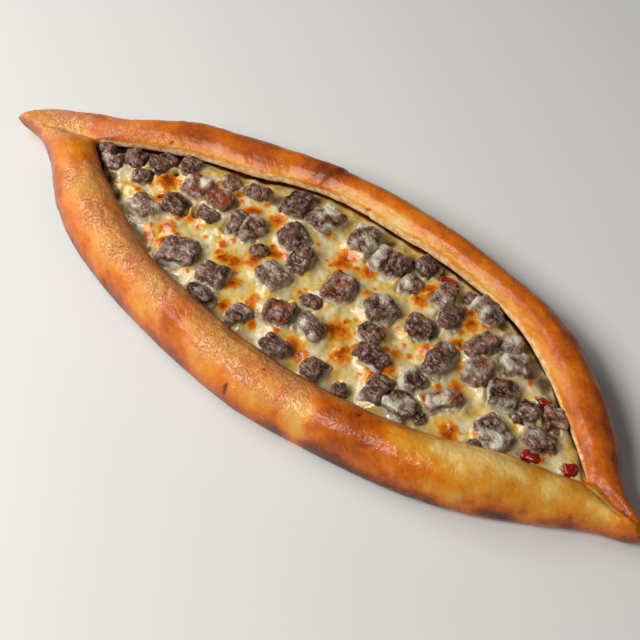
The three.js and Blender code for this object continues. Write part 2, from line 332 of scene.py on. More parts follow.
def fold_place(points):
    """Where each point of the crust lies on its fold.

    Gives the fold (-1 near, 1 far), the share of the way in from its edge to its lip, the
    distance to the lip, and the distance beyond the opening.
    """
    x, y = points[:, 0], points[:, 1]
    beyond = np.maximum(0, np.maximum(OPENING[0] - x, x - OPENING[1]))
    near, far = near_lip(x), far_lip(x)
    near, far = np.where(beyond > 0, seam(x), near), np.where(beyond > 0, seam(x), far)
    side = np.where(y > (near + far) / 2, 1, -1)
    lip = np.where(side > 0, far, near)
    edge = np.where(side > 0, far_edge(x), near_edge(x))
    across = (edge - y) / (edge - lip)
    return side, across, side * (y - lip), beyond


LIP_SHARPNESS = 0.75


def sharp_places(points):
    """How far the crust keeps its edges: most along the lips and the seams."""
    _, _, from_lip, _ = fold_place(points)
    return LIP_SHARPNESS * (fade(np.abs(from_lip), 3, 7) * ease(points[:, 2], 8, 12))


crust = refined("crust", "crust_dough", CRUST_CELL, CRUST_SMOOTHING, sharp_places)
points = plan_points(crust.data)
outward = normals(crust.data)
side, across, from_lip, beyond = fold_place(points)
x, y, z = points.T
near_fold, far_fold = side < 0, side > 0
in_opening = fade(beyond, 0, 2)

# The far fold shows pale crumb along its lip, where the dough tore, and so does the hollow
# under both lips. The rest is skin, down to the flat underside.
tilt = outward[:, 2] + 0.25 * cloud(points, 3, 9)
cut_face = fade(np.abs(from_lip + 0.3), 1.6, 2.6) * in_opening * far_fold
cut_face *= ease(x, -104, -84) * fade(x, 108, 126) * ease(z, 9.5, 11) * fade(tilt, 0.1, 0.6)
inside = (across > 0.86) & (z < 13.5) & (in_opening > 0.5) & (outward[:, 2] < 0.35)
underside = fade(z, 0.2, 1.2)
outer_skin = np.where(inside, 0, 1) * (1 - cut_face) * (1 - underside)

# Hand-made unevenness, blisters from the oven and the fine folds that a shrinking skin keeps:
# how high each stands and how wide it is, in millimetres.
SWELL_HIGH, SWELL_WIDE = 0.55, 24
LUMP_HIGH, LUMP_WIDE = 0.3, 9
BLISTER_HIGH, BLISTER_WIDE = 0.28, 4.2
FOLD_HIGH, FOLD_WIDE = 0.12, (14, 1.8, 8)
TORN_HIGH, TORN_WIDE = 0.22, (5, 2.5, 1.3)
# The fine folds run along the bread, so their noise is laid along it, round the fold and down.
FOLD_ROUND, FOLD_DOWN = 20, 0.3
swell = SWELL_HIGH * cloud(points, SWELL_WIDE, 1) + LUMP_HIGH * cloud(points, LUMP_WIDE, 2)
blisters = BLISTER_HIGH * np.clip(cloud(points, BLISTER_WIDE, 3) - 0.15, 0, 1)
stretched = np.stack([x, across * FOLD_ROUND * side, z * FOLD_DOWN], 1)
folds = FOLD_HIGH * cloud(stretched, FOLD_WIDE, 4) * fade(np.abs(across - 0.6), 0.2, 0.5)
shift = (swell + blisters + folds) * outer_skin * ease(z, 1.5, 5)
shift += TORN_HIGH * cloud(points, TORN_WIDE, 5) * cut_face

# Pits where a bubble burst and scorched: along, across, radius and depth.
PITS = [
    (-90, 15.8, 1.0, 0.5), (-18.5, 37.5, 1.1, 0.9), (-1, 41.6, 1.0, 0.5), (63.7, -41.9, 0.9, 0.8),
    (-61, -55.5, 1.1, 0.4), (15.5, -61, 1.2, 0.4), (-30, 52, 0.8, 0.3), (70, 45, 0.8, 0.3),
    (25, -50, 0.7, 0.3),
]
pit_mark = np.zeros(len(points))
for pit_x, pit_y, radius, deep in PITS:
    in_pit = fade(np.hypot(x - pit_x, y - pit_y), 0.2 * radius, 1.3 * radius) * (z > 8)
    shift -= deep * in_pit
    pit_mark = np.maximum(pit_mark, in_pit)

# The stretch of the far fold left of the middle lies over the next one in a low step.
STEP_X, STEP_Y, STEP_MIDDLE = -24, 46, -30
STEP_TURN, STEP_LEAN = math.radians(22), 0.6
STEP_HIGH = 0.75
step_line = ((x - STEP_X) * math.cos(STEP_TURN)
    - (y - STEP_Y) * math.sin(STEP_TURN) * STEP_LEAN)
by_step = far_fold * outer_skin * fade(np.abs(x - STEP_MIDDLE), 26, 40)
shift += STEP_HIGH * (by_step * fade(step_line, -0.6, 0.9) * ease(step_line, -22, -1))

# Beyond the right corner one fold is pressed over the other, with a fine raised line and a
# groove beside it. Beyond the left corner the two meet in a groove.
RIGHT_LINE_HIGH, RIGHT_GROOVE_DEEP, LEFT_GROOVE_DEEP = 0.7, 0.4, 0.35
over_seam = y - seam(x)
right_seam = ease(x, 137, 141) * fade(x, 156, 163)
left_seam = fade(x, -123, -119) * ease(x, -150, -143)
shift += RIGHT_LINE_HIGH * right_seam * ridge(over_seam, -0.9, 0.8) * (z > 6)
shift -= RIGHT_GROOVE_DEEP * right_seam * ridge(over_seam, 1.0, 0.8) * (z > 6)
shift -= LEFT_GROOVE_DEEP * left_seam * ridge(over_seam, -0.6, 0.9) * (z > 5)

# The near fold's skin dried and crinkled, and the left tip kept the streaks of the pinching.
CRINKLE_HIGH, CRINKLE_WIDE = 0.14, (3.2, 2.2, 2.6)
STREAK_HIGH, STREAK_WIDE = 0.2, (18, 2.2, 3)
left_tip = fade(x, -132, -112)
crinkled = near_fold * fade(x, 46, 60) * ease(x, -130, -112) * ease(z, 7, 13) * outer_skin
shift += CRINKLE_HIGH * crinkled * cloud(points, CRINKLE_WIDE, 12)
shift += STREAK_HIGH * left_tip * cloud(points, STREAK_WIDE, 6) * outer_skin

# The skin stays within the box of the CAD part.
low, high = (np.array(list(corner)) / MM - [0, PLAN_SHIFT, 0] for corner in (cad_low, cad_high))
move_points(crust.data, np.clip(points + outward * shift[:, None], low, high))

# How strongly each place baked, from pale at 0 to scorched at 1, with painted highlight and
# painted shade mixed in: first what the whole crust has, then what each place adds or takes.
EVEN_BAKE, FAR_BAKE, NEAR_BAKE = 0.5, 0.08, -0.02
WIDE_PATCHES, SMALL_PATCHES, RIGHT_MOTTLE = 0.07, 0.05, 0.07
FAR_LIP_PALE, NEAR_LIP_BROWN = 0.22, 0.2
FOOT_SHADE, LEFT_FOOT_SHADE = 0.33, 0.16
STEP_BROWN, LINE_BROWN, LINE_PALE, GROOVE_PALE = 0.12, 0.12, 0.22, 0.2
# Places where the crust baked darker or stayed paler: along, across, radius and amount. The
# paler spots at (0, -55), (30, -57) and (45, -54) are painted highlight on the near fold, and the
# darker one at (38, -63) is painted shade at its foot.
BAKED_AND_LIT = [
    (62, -50, 15, 0.26), (80, -45, 13, 0.1), (50, -44, 10, 0.08), (119, -35, 14, 0.16),
    (95, -45, 14, 0.12), (-119, -12, 6, 0.08), (-112, -17, 7, 0.02), (-60, -50, 12, -0.05),
    (-45, 27, 4, 0.18), (-24, 46, 11, 0.22), (-32, 42, 8, 0.12), (144, 6, 9, 0.14),
    (152, -4, 8, 0.12), (128, 20, 14, 0.12), (100, 36, 16, 0.1), (-128, 6, 9, 0.1),
    (-60, 38, 12, 0.1), (-85, 24, 10, 0.08), (12, 50, 14, -0.05), (45, 48, 10, 0.06),
    (105, -29, 19, -0.38), (122, -22, 14, -0.24), (134, -17, 9, -0.25), (148, -14, 9, -0.28),
    (140, -9, 5, -0.15), (88, -37, 11, -0.2), (76, -37, 7, -0.08), (-131, -3, 8, -0.26),
    (-142, -8, 7, -0.18), (-121, -5, 5, -0.25), (14, 40, 9, -0.12), (-155, -3, 12, -0.16),
    (-70, -45, 14, -0.1), (0, -55, 18, -0.08), (-35, -50, 14, -0.08), (-95, -28, 10, -0.1),
    (45, -54, 7, -0.3), (30, -57, 8, -0.1), (-112, -33, 12, 0.1), (-119, -14, 8, -0.1),
    (10, -50, 12, -0.06), (104, -25, 12, -0.12), (116, -20, 9, -0.1), (38, -63, 9, 0.14),
    (-20, -62, 16, 0.1),
]
bake_and_light = EVEN_BAKE + WIDE_PATCHES * cloud(points, 30, 7) + SMALL_PATCHES * cloud(points, 11, 8)
bake_and_light += np.where(far_fold, FAR_BAKE, NEAR_BAKE)
for spot_x, spot_y, radius, amount in BAKED_AND_LIT:
    reach = np.hypot(x - spot_x, y - spot_y) + 0.25 * radius * cloud(points, 6, spot_x)
    bake_and_light += amount * fade(reach, 0.35 * radius, 1.15 * radius)
pale_lip = fade(np.abs(from_lip), 1.5, 4.5) * in_opening * (z > 10)
bake_and_light -= FAR_LIP_PALE * pale_lip * far_fold * ease(x, -112, -88) * fade(x, 95, 125)
bake_and_light += NEAR_LIP_BROWN * fade(np.abs(from_lip), 0.3, 2.2) * in_opening * near_fold * (z > 10)
# Painted shade: the near fold gets darker towards its foot, and its left stretch gets darker
# towards its outer edge.
bake_and_light += FOOT_SHADE * ease(1 - z / 15, 0.1, 0.75) * near_fold
bake_and_light += RIGHT_MOTTLE * cloud(points, (4, 3, 3), 14) * near_fold * ease(x, 70, 90)
left_foot = near_fold * fade(x, -60, -30) * ease(x, -150, -130)
bake_and_light += LEFT_FOOT_SHADE * fade(across, 0.05, 0.35) * left_foot
bake_and_light += STEP_BROWN * by_step * ridge(step_line, 1.2, 1.6)
bake_and_light += LINE_BROWN * right_seam * ridge(over_seam, 1.2, 1.2)
bake_and_light -= LINE_PALE * right_seam * ridge(over_seam, -1.2, 0.9)
bake_and_light -= GROOVE_PALE * left_seam * ridge(over_seam, 0.2, 1.3)
bake_and_light = np.where(pit_mark > 0.2, np.maximum(bake_and_light, 0.5 + 0.5 * pit_mark), bake_and_light)

# Where the skin gets a painted glare, a pinkish pale tint with a net of paler cells, and a
# stronger
# crackle of bumps: the left tip, the far fold beside it and the near fold as far as its middle,
# but for one smooth place near the tip. One spot of painted glare lies beyond.
SMOOTH_X, SMOOTH_Y = -117, -15
GLARE_SPOT_X, GLARE_SPOT_Y = 45, -53
TIP_GLARE, SPOT_GLARE, PATCHY = 0.8, 0.9, 0.75
glare_and_crackle = np.where(near_fold, fade(x, 48, 62), fade(x, -125, -85)) * ease(z, 8, 15) * outer_skin
glare_and_crackle *= (np.where(near_fold, ease(across, 0.02, 0.3), 1)
    * ease(np.hypot(x - SMOOTH_X, y - SMOOTH_Y), 7, 15))
glare_and_crackle = np.maximum(glare_and_crackle * fade(bake_and_light, 0.5, 0.62), TIP_GLARE * fade(x, -150, -118) * outer_skin)
glare_spot = fade(np.hypot(x - GLARE_SPOT_X, y - GLARE_SPOT_Y), 2, 10)
glare_and_crackle = np.maximum(glare_and_crackle, SPOT_GLARE * glare_spot * near_fold)
glare_and_crackle *= PATCHY + PATCHY * cloud(points, (16, 9, 12), 11)

paint(crust.data, "bake_and_light", np.clip(bake_and_light, 0, 1))
paint(crust.data, "crumb", np.clip(cut_face + inside * 0.9, 0, 1))
paint(crust.data, "glare_and_crackle", np.clip(glare_and_crackle, 0, 1))
paint(crust.data, "dim", np.where(far_fold, ease(x, -150, -110), 0.0))
# Low in the hollow under the lips the crumb turns dark red: partly sauce stain, partly painted
# shade.
paint(crust.data, "stained_and_shaded", np.clip(inside * ease(12 - z, 0, 3), 0, 1))

# Egg-washed crust: a clear thin glaze brushed over starch that browned in the oven, so it is
# glossy with soft broad glints, and a little light passes under it. Where glare is painted on, the
# skin gets a pinkish pale tint and a net of paler cells about 2.6 mm wide with darker cracks
# between them. Its pores are finer than a pixel of the render, so they are drawn 0.9 mm wide.
CRUST_TONES = [
    (0.0, "#e4bc6c"), (0.2, "#d69c3c"), (0.36, "#d68a1e"), (0.5, "#ce6c04"), (0.64, "#b45404"),
    (0.8, "#863703"), (1.0, "#421602")]
CRUMB_TONES = [(0.3, "#dc9850"), (0.5, "#efc48a"), (0.7, "#fde8c8")]
# The first two colours are painted glare: a pinkish tint and the pale of the cells.
GLARE_PINK, GLARE_NET_PALE, SAUCE_STAIN_AND_SHADE = "#dd8c58", "#ffd2a8", "#6e2c12"
MOTTLE_WIDE, SPECKLE_WIDE, CELL_WIDE, CRUMB_WIDE = 7, 1.6, 2.6, 2.2
RIPPLE_WIDE, PORE_WIDE = 4.2, 0.9
RIPPLE_DEEP, CRACK_DEEP, PORE_DEEP = 1.4, 0.4, 0.25
# How far mottle and speckle change the browning, and the most that the painted glare's tint and
# its pale cells cover.
MOTTLE_BAKE, SPECKLE_BAKE = 0.09, 0.05
GLARE_MOST, GLARE_NET_MOST = 0.14, 0.24
# A noise texture keeps nearly all its values between these.
NOISE_SPAN = {"From Min": 0.3, "From Max": 0.7}
# A Mix node's sockets go by number: its share, two numbers, two colours, and the mixed colour.
SHARE, FROM, TO, UNDER, OVER, MIXED = 0, 2, 3, 6, 7, 2

crust_skin, tree = new_material("egg_washed_crust")
place = add(tree, "TexCoord").outputs["Object"]
baked_and_lit, crumb, stained_and_shaded, glare_and_crackle_skin, dim_skin = (
    add(tree, "Attribute", attribute_name=name).outputs["Fac"]
    for name in ("bake_and_light", "crumb", "stained_and_shaded", "glare_and_crackle", "dim"))
mottle = add(tree, "TexNoise", {
    "Vector": place, "Scale": 1 / (MOTTLE_WIDE * MM), "Detail": 5.0, "Roughness": 0.62})
speckle = add(tree, "TexNoise", {
    "Vector": place, "Scale": 1 / (SPECKLE_WIDE * MM), "Detail": 3.0, "Roughness": 0.6})
coarse = add(tree, "MapRange", {
    "Value": mottle.outputs["Fac"], **NOISE_SPAN, "To Min": -MOTTLE_BAKE, "To Max": MOTTLE_BAKE})
fine = add(tree, "MapRange", {
    "Value": speckle.outputs["Fac"], **NOISE_SPAN,
    "To Min": -SPECKLE_BAKE, "To Max": SPECKLE_BAKE})
both = add(tree, "Math", {0: coarse.outputs[0], 1: fine.outputs[0]}, operation="ADD")
browning_and_light = add(tree, "Math", {0: both.outputs[0], 1: baked_and_lit}, operation="ADD")
tones = add(tree, "ValToRGB", {"Fac": browning_and_light.outputs[0]}, stops=CRUST_TONES)
# Painted glare: a pinkish tint, then a net of pale cells, where the glare mask lies.
glare_share = add(tree, "Math", {0: glare_and_crackle_skin, 1: GLARE_MOST}, operation="MULTIPLY")
glared = add(tree, "Mix", {
    SHARE: glare_share.outputs[0], UNDER: tones.outputs[0], OVER: colour(GLARE_PINK)},
    data_type="RGBA")
cell_noise = add(tree, "TexNoise", {
    "Vector": place, "Scale": 1 / (CELL_WIDE * MM), "Detail": 2.5, "Distortion": 1.2})
cells = add(tree, "ValToRGB", {"Fac": cell_noise.outputs["Fac"]}, stops=[
    (0.44, 1.0), (0.5, 0.0), (0.56, 1.0)])
glare_net_part = add(tree, "Math", {0: cells.outputs[0], 1: GLARE_NET_MOST}, operation="MULTIPLY")
glare_net_share = add(tree, "Math", {0: glare_net_part.outputs[0], 1: glare_and_crackle_skin}, operation="MULTIPLY")
glare_netted = add(tree, "Mix", {
    SHARE: glare_net_share.outputs[0], UNDER: glared.outputs[MIXED], OVER: colour(GLARE_NET_PALE)},
    data_type="RGBA")
crumb_noise = add(tree, "TexNoise", {
    "Vector": place, "Scale": 1 / (CRUMB_WIDE * MM), "Detail": 4.0, "Roughness": 0.6})
crumb_tones = add(tree, "ValToRGB", {"Fac": crumb_noise.outputs["Fac"]}, stops=CRUMB_TONES)
inner = add(tree, "Mix", {
    SHARE: stained_and_shaded, UNDER: crumb_tones.outputs[0], OVER: colour(SAUCE_STAIN_AND_SHADE)},
    data_type="RGBA")
skin = add(tree, "Mix", {
    SHARE: crumb, UNDER: glare_netted.outputs[MIXED], OVER: inner.outputs[MIXED]}, data_type="RGBA")
ripple = add(tree, "TexNoise", {
    "Vector": place, "Scale": 1 / (RIPPLE_WIDE * MM), "Detail": 3.0, "Roughness": 0.6,
    "Distortion": 0.8})
pores = add(tree, "TexNoise", {
    "Vector": place, "Scale": 1 / (PORE_WIDE * MM), "Detail": 3.0, "Roughness": 0.65})
calm_strength = add(tree, "Mix", {SHARE: dim_skin, FROM: 0.45, TO: 0.3})
ripple_strength = add(tree, "Mix", {SHARE: glare_and_crackle_skin, FROM: calm_strength.outputs[0], TO: 0.75})
crack_strength = add(tree, "Mix", {SHARE: glare_and_crackle_skin, FROM: 0.1, TO: 0.9})
ripple_bump = add(tree, "Bump", {
    "Height": ripple.outputs["Fac"], "Strength": ripple_strength.outputs[0],
    "Distance": RIPPLE_DEEP * MM})
crack_bump = add(tree, "Bump", {
    "Height": cells.outputs[0], "Strength": crack_strength.outputs[0],
    "Distance": CRACK_DEEP * MM, "Normal": ripple_bump.outputs[0]})
pore_bump = add(tree, "Bump", {
    "Height": pores.outputs["Fac"], "Strength": 0.4, "Distance": PORE_DEEP * MM,
    "Normal": crack_bump.outputs[0]})
shine = add(tree, "Mix", {SHARE: dim_skin, FROM: 0.42, TO: 0.75})
dull = add(tree, "Mix", {SHARE: crumb, FROM: shine.outputs[0], TO: 0.85})
body = add(tree, "BsdfPrincipled", {
    "Base Color": skin.outputs[MIXED], "Roughness": dull.outputs[0], "IOR": 1.45,
    "Normal": pore_bump.outputs[0],
    "Subsurface Weight": 0.1, "Subsurface Radius": (1.0, 0.4, 0.1), "Subsurface Scale": 1.2 * MM,
    "Specular IOR Level": 0.2, "Coat Weight": 0.45, "Coat Roughness": 0.12, "Coat IOR": 1.42,
    "Coat Normal": crack_bump.outputs[0]})
add(tree, "OutputMaterial", {"Surface": body.outputs[0]})
crust.data.materials.append(crust_skin)
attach(crust, "root")
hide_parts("crust")

# ---------------------------------------------------------------- meat
# Diced beef or lamb, cut by hand into cubes of about a centimetre and baked on the cheese, which
# holds it. It is grey-brown, made of bundles of fibres, and shrank to grains with gaps between
# them, which get painted shade.
MEAT_CELL = 0.45
MEAT_SMOOTHING = 9
MEAT_ROUGH = 0.8
# The share of each piece that cheese ran over, by the node's number, and how far the share of
# the pieces that aren't listed goes up and down about its middle.
COVER = {1: 0.1, 2: 0.05, 5: 0.15, 7: 0.75, 9: 0.8, 11: 0.3, 14: 0.7, 15: 0.5, 17: 0.45, 19: 0.75,
    20: 0.35, 24: 0.25, 27: 0.45, 28: 0.25, 30: 0.3, 31: 0.45, 32: 0.6, 34: 0.3, 37: 0.7, 42: 0.65,
    43: 0.5, 44: 0.3, 46: 0.6, 47: 0.25, 48: 0.3, 50: 0.3, 53: 0.35}
COVER_MIDDLE, COVER_SWING = 0.34, 0.25
# How brown the top of a piece got, by the node's number. The others stayed grey.
TOASTED = {4: 0.5, 19: 0.6, 20: 0.8, 23: 0.35, 26: 0.5, 37: 0.35, 43: 0.7, 30: 0.3, 31: 0.4,
    51: 0.4, 34: 0.4}
# The pieces differ in darkness, up to this share of the darker tone.
DARKER_MOST = 0.55
# Each piece takes its relief from another part of the noise, this far from the one before.
PIECE_STEP = 3.1
# What the meat's relief is made of, as shares of its roughness, and its sizes in millimetres.
LUMPY, GRAINY, CRACKED, FULL, FILM_THICK = 1.45, 0.45, 0.8, 0.75, 0.3
MEAT_LUMP_WIDE, MEAT_KNOB_WIDE, FIBRE_SIZE, GRAIN_WIDE = 5.5, 2.6, (6.0, 2.2, 2.2), 1.3
# The film of cheese thickens between these depths below a piece's top, and its edge drapes
# lower and higher by this much.
FILM_FROM, FILM_TO = 1.6, 5.2
DRAPE_REACH, DRAPE_WIDE = 2.4, (5, 5, 3.5)


def fibres(piece, seed, rough, cover):
    """Gives a piece the lumps, cracks and grain of cooked meat, softer where cheese covers it.

    Paints how thick the film of cheese is and how much painted shade darkens the gaps, and
    returns the points that the piece had before.
    """
    points = plan_points(piece.data)
    outward = normals(piece.data)
    moved_on = points + seed * PIECE_STEP
    drape = cloud(points, DRAPE_WIDE, seed + 0.2)
    from_top = points[:, 2].max() - points[:, 2]
    low_down = ease(from_top - DRAPE_REACH * drape, FILM_FROM, FILM_TO)
    film = np.clip(low_down + cover * (0.8 + 1.5 * drape) - 0.06, 0, 1)
    bare = 1 - 0.75 * film
    knobs = 0.45 * cloud(moved_on, MEAT_KNOB_WIDE, seed + 0.5)
    lumps = cloud(moved_on, MEAT_LUMP_WIDE, seed) + knobs
    cracks = np.abs(cloud(moved_on, FIBRE_SIZE, seed + 0.8))
    grain = grains(moved_on, GRAIN_WIDE, seed)
    shift = rough * (LUMPY * lumps - GRAINY * grain * bare
        - CRACKED * fade(cracks, 0, 0.22) * bare + FULL + FILM_THICK * film)
    move_points(piece.data, points + outward * shift[:, None])
    # Painted shade: the cracks, the hollows between the lumps and the rims of the grains get
    # darker.
    gap_shade = 0.7 * fade(cracks, 0, 0.25) + 0.6 * np.clip(-lumps, 0, 1) + np.clip(grain - 0.6, 0, 1)
    paint(piece.data, "film", film)
    paint(piece.data, "gap_shade", np.clip(gap_shade, 0, 1))
    return points


def ray_target(mesh):
    """The mesh's surface, made ready for rays."""
    work = bmesh.new()
    work.from_mesh(mesh)
    target = BVHTree.FromBMesh(work)
    work.free()
    return target


# Cooked diced meat: cut and baked, so its flesh is a dull grey-brown, and the fat on it gives
# small sharp glints. Its cracks and hollows are nearly black with painted shade, and the top of
# its tones paints small near-white glints. Thin melted cheese turns it pale and smoother. The grit
# is about
# 1 mm, the size of the bundles of fibres.
# The flesh's tones; the near-white top stop paints small glints.
MEAT_TONES_AND_GLINTS = [(0.3, "#3e1e0c"), (0.42, "#7e523c"), (0.53, "#ac8470"), (0.62, "#ccae9c"),
    (0.7, "#fbf4ec")]
MEAT_DARKER, MEAT_GAP_SHADE, MEAT_BROWN = "#967260", "#1c0802", "#a4480c"
FILM_TONES = [(0.2, "#a29382"), (0.8, "#dad1b8")]
FLESH_WIDE, GRIT_WIDE = 2.2, 1.0
GRIT_DEEP, FLESH_DEEP = 0.7, 1.1
FILM_RAGGED, FILM_MOST = 0.2, 0.8

meat_flesh, tree = new_material("cooked_diced_meat")
place = add(tree, "TexCoord").outputs["Object"]
gap_shade, toast, film, darker = (
    add(tree, "Attribute", attribute_name=name).outputs["Fac"]
    for name in ("gap_shade", "toast", "film", "tone"))
tone = add(tree, "TexNoise", {
    "Vector": place, "Scale": 1 / (FLESH_WIDE * MM), "Detail": 6.0, "Roughness": 0.75})
grit = add(tree, "TexVoronoi", {
    "Vector": place, "Scale": 1 / (GRIT_WIDE * MM), "Randomness": 1.0})
flesh = add(tree, "ValToRGB", {"Fac": tone.outputs["Fac"]}, stops=MEAT_TONES_AND_GLINTS)
shaded = add(tree, "Mix", {
    SHARE: darker, UNDER: flesh.outputs[0], OVER: colour(MEAT_DARKER)},
    data_type="RGBA", blend_type="MULTIPLY")
# Painted shade in the gaps.
gap_shaded = add(tree, "Mix", {
    SHARE: gap_shade, UNDER: shaded.outputs[MIXED], OVER: colour(MEAT_GAP_SHADE)}, data_type="RGBA")
browned = add(tree, "Mix", {
    SHARE: toast, UNDER: gap_shaded.outputs[MIXED], OVER: colour(MEAT_BROWN)}, data_type="RGBA")
film_noise = add(tree, "MapRange", {
    "Value": tone.outputs["Fac"], **NOISE_SPAN, "To Min": -FILM_RAGGED, "To Max": FILM_RAGGED})
film_sum = add(tree, "Math", {0: film, 1: film_noise.outputs[0]}, operation="ADD")
film_share = add(tree, "ValToRGB", {"Fac": film_sum.outputs[0]}, stops=[
    (0.12, 0.0), (0.9, FILM_MOST)])
film_tones = add(tree, "ValToRGB", {"Fac": film_share.outputs[0]}, stops=FILM_TONES)
fatty = add(tree, "Mix", {
    SHARE: film_share.outputs[0], UNDER: browned.outputs[MIXED], OVER: film_tones.outputs[0]},
    data_type="RGBA")
bare_strength = add(tree, "Mix", {SHARE: film_share.outputs[0], FROM: 1.0, TO: 0.4})
grit_bump = add(tree, "Bump", {
    "Height": grit.outputs["Distance"], "Strength": bare_strength.outputs[0],
    "Distance": GRIT_DEEP * MM}, invert=True)
flesh_bump = add(tree, "Bump", {
    "Height": tone.outputs["Fac"], "Strength": bare_strength.outputs[0],
    "Distance": FLESH_DEEP * MM, "Normal": grit_bump.outputs[0]})
body = add(tree, "BsdfPrincipled", {
    "Base Color": fatty.outputs[MIXED], "Roughness": 0.34, "Specular IOR Level": 0.15,
    "IOR": 1.42, "Normal": flesh_bump.outputs[0],
    "Subsurface Weight": 0.12, "Subsurface Radius": (1.0, 0.5, 0.3), "Subsurface Scale": 1.0 * MM,
    "Coat Weight": 0.4, "Coat Roughness": 0.07})
add(tree, "OutputMaterial", {"Surface": body.outputs[0]})

# The surface and the box of each piece in the filling, for the cheese to lie round.
filling = []
meat_nodes = sorted(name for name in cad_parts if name.startswith("meat_"))
for number, node in enumerate(meat_nodes, 1):
    piece = refined(node, "diced_" + node, MEAT_CELL, MEAT_SMOOTHING)
    cover = COVER.get(number, COVER_MIDDLE + COVER_SWING * math.sin(1.7 * number))
    points = fibres(piece, number, MEAT_ROUGH, cover)
    darkness = DARKER_MOST * abs(math.sin(number * 2.4)) ** 1.5
    paint(piece.data, "tone", np.full(len(points), darkness))
    top = points[:, 2].max()
    high_up = ease(points[:, 2], top - 4.5, top - 1)
    toasted = TOASTED.get(number, 0.0)
    patches = toasted * 1.3 + 0.5 * cloud(points, 4, number + 0.2) - 0.35
    paint(piece.data, "toast", np.clip(high_up * patches, 0, 1) * (toasted > 0))
    piece.data.materials.append(meat_flesh)
    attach(piece, "root")
    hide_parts(node)
    filling.append((ray_target(piece.data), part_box(node)))

# Bits of the same meat that broke off: along, across, length, width and turn.
BITS = [(-22, -1, 6, 5, 10), (11, -8, 8, 5, 30), (47, -33, 5, 4, 0), (99, -21, 5, 4, 50),
    (106, -1, 5, 4, 20), (77, -24, 5, 4, 80), (120, -3, 5, 4, 15), (-101, 4, 5, 4, 30),
    (-113, -1, 6, 4, 20), (58, 34, 4, 3, 0)]
BIT_HEIGHT = 11.0
BIT_THICK = 4.0
BIT_SEED = 70
BIT_ROUGH = 1.1
BIT_COVER = 0.1
BIT_DARKER = 0.3
work = bmesh.new()
for bit_x, bit_y, bit_length, bit_width, turn in BITS:
    place = Matrix.Translation(Vector((bit_x, bit_y + PLAN_SHIFT, BIT_HEIGHT)) * MM)
    place @= Matrix.Rotation(math.radians(turn), 4, "Z")
    place @= Matrix.Diagonal((bit_length / 2 * MM, bit_width / 2 * MM, BIT_THICK / 2 * MM, 1))
    bmesh.ops.create_icosphere(work, subdivisions=4, radius=1, matrix=place)
bits_mesh = bpy.data.meshes.new("meat_bits")
work.to_mesh(bits_mesh)
work.free()
shade_smooth(bits_mesh)
bits = link("meat_bits", bits_mesh)
points = fibres(bits, BIT_SEED, BIT_ROUGH, BIT_COVER)
paint(bits_mesh, "tone", np.full(len(points), BIT_DARKER))
paint(bits_mesh, "toast", np.zeros(len(points)))
bits_mesh.materials.append(meat_flesh)
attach(bits, "root")

# ---------------------------------------------------------------- tomato
# Small dice of ripe red tomato flesh, hand-cut and strewn over the filling near its right end.
# The oven made them soft and wrinkled, and they lie half sunk in the cheese.
TOMATO_CELL = 0.4
TOMATO_SMOOTHING = 8
TOMATO_SEED = 60
# In millimetres: how far a piece is swollen, and how high and wide its lumps are.
TOMATO_FULL, TOMATO_HIGH, TOMATO_WIDE = 0.2, 0.7, 2.6

# Baked tomato: wet, so it has small bright glints, and its juicy flesh lets light in and glows
# deep red. Its wrinkles are 1.8 mm wide.
TOMATO_TONES = [(0.3, "#4e0806"), (0.5, "#8c150c"), (0.7, "#b23018")]
WRINKLE_WIDE, WRINKLE_DEEP = 1.8, 0.4
tomato_flesh, tree = new_material("baked_tomato")
place = add(tree, "TexCoord").outputs["Object"]
tone = add(tree, "TexNoise", {
    "Vector": place, "Scale": 1 / (WRINKLE_WIDE * MM), "Detail": 4.0, "Roughness": 0.6})
flesh = add(tree, "ValToRGB", {"Fac": tone.outputs["Fac"]}, stops=TOMATO_TONES)
wrinkles = add(tree, "Bump", {
    "Height": tone.outputs["Fac"], "Strength": 0.4, "Distance": WRINKLE_DEEP * MM})
body = add(tree, "BsdfPrincipled", {
    "Base Color": flesh.outputs[0], "Roughness": 0.22, "IOR": 1.38, "Normal": wrinkles.outputs[0],
    "Subsurface Weight": 0.3, "Subsurface Radius": (1.0, 0.25, 0.15),
    "Subsurface Scale": 1.5 * MM, "Coat Weight": 0.4, "Coat Roughness": 0.12})
add(tree, "OutputMaterial", {"Surface": body.outputs[0]})

tomato_nodes = sorted(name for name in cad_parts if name.startswith("tomato_"))
for number, node in enumerate(tomato_nodes, TOMATO_SEED):
    piece = refined(node, "diced_" + node, TOMATO_CELL, TOMATO_SMOOTHING)
    points = plan_points(piece.data)
    shift = TOMATO_FULL + TOMATO_HIGH * cloud(points, TOMATO_WIDE, number)
    move_points(piece.data, points + normals(piece.data) * shift[:, None])
    piece.data.materials.append(tomato_flesh)
    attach(piece, "root")
    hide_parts(node)
    filling.append((ray_target(piece.data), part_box(node)))

# ---------------------------------------------------------------- cheese
# Grated pale cheese that melted into one sheet. It wets the sides of the meat, runs over some
# pieces as a thin film, and browns in spots where it dried out.
CHEESE_CELL = 0.6
CHEESE_ACROSS = 150
CHEESE_END_GAP = 2
# The sheet reaches this share of the way from the lips to the edges, under the folds.
CHEESE_UNDER = 0.3
# Heights in millimetres of the middle, the sides and the foot of the sheet.
CHEESE_HEIGHT = 10.2
CHEESE_EDGE_HEIGHT = 8.0
CHEESE_BOTTOM = 5.0
# Waves about 35 mm from crest to crest, and the lumps that the grated bits left.
WAVE_HIGH, WAVE_ALONG, WAVE_ACROSS = 0.6, 6.1, 5.3
CLOT_HIGH, CLOT_WIDE = 0.7, 7
SHRED_HIGH, SHRED_WIDE = 0.35, 2.8
